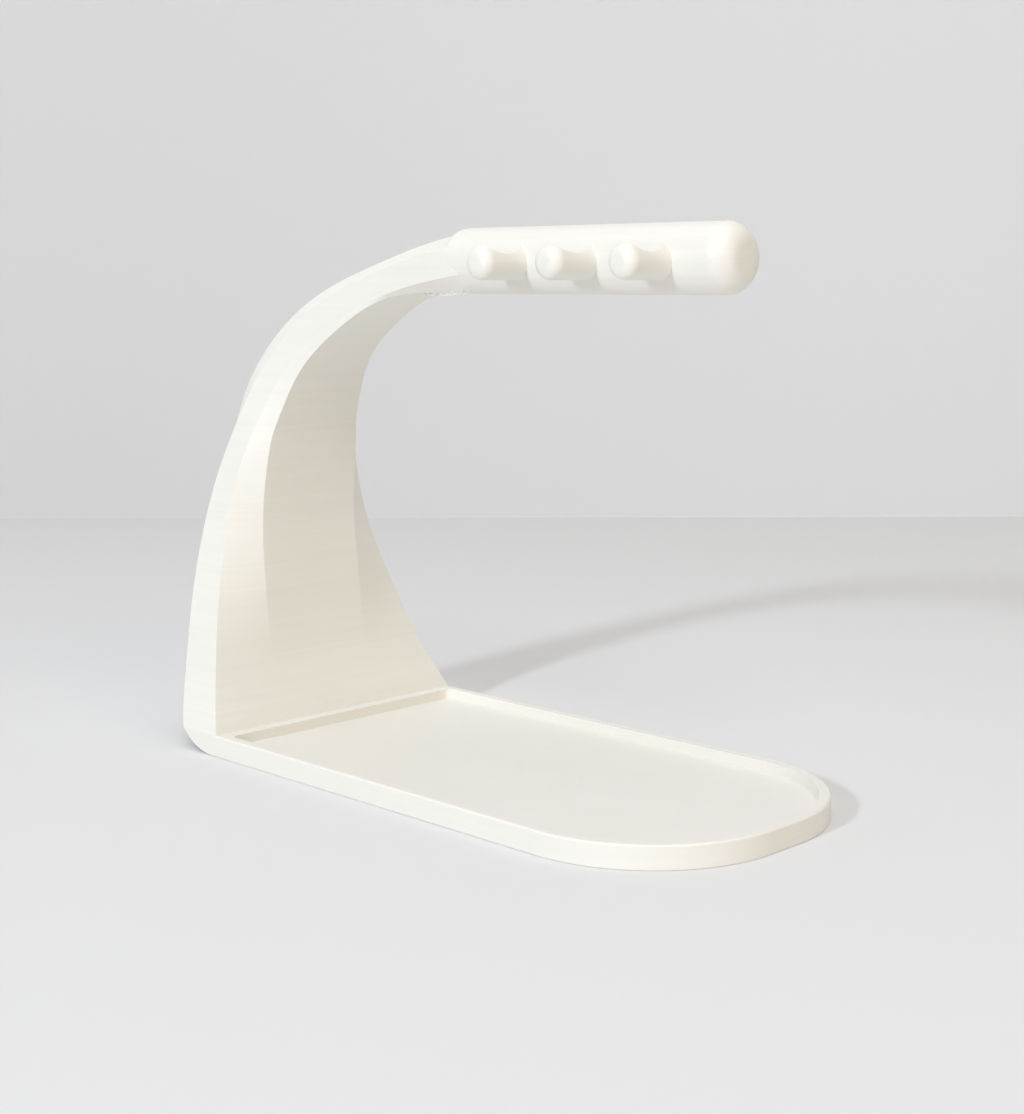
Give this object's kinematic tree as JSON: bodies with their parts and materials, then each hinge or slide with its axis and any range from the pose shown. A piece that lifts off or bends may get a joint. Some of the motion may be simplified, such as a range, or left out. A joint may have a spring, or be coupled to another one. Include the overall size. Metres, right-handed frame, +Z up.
{
  "type": "key holder",
  "caption": "Free-standing key holder printed in one piece: a shallow tray with a rounded front, a curved neck and a round arm with pegs on both sides.",
  "frame": {"origin": "middle of the bounding box's underside, on the flat resting face", "axes": "+X from the neck towards the rounded front of the tray and the free end of the arm, +Y across, +Z up"},
  "size_m": [0.1958, 0.09, 0.147],
  "materials": {
    "key_holder": "satin printed plastic in warm white, with fine level layer lines"
  },
  "bodies": {
    "root": {"key_holder": "key_holder"}
  },
  "joints": []
}
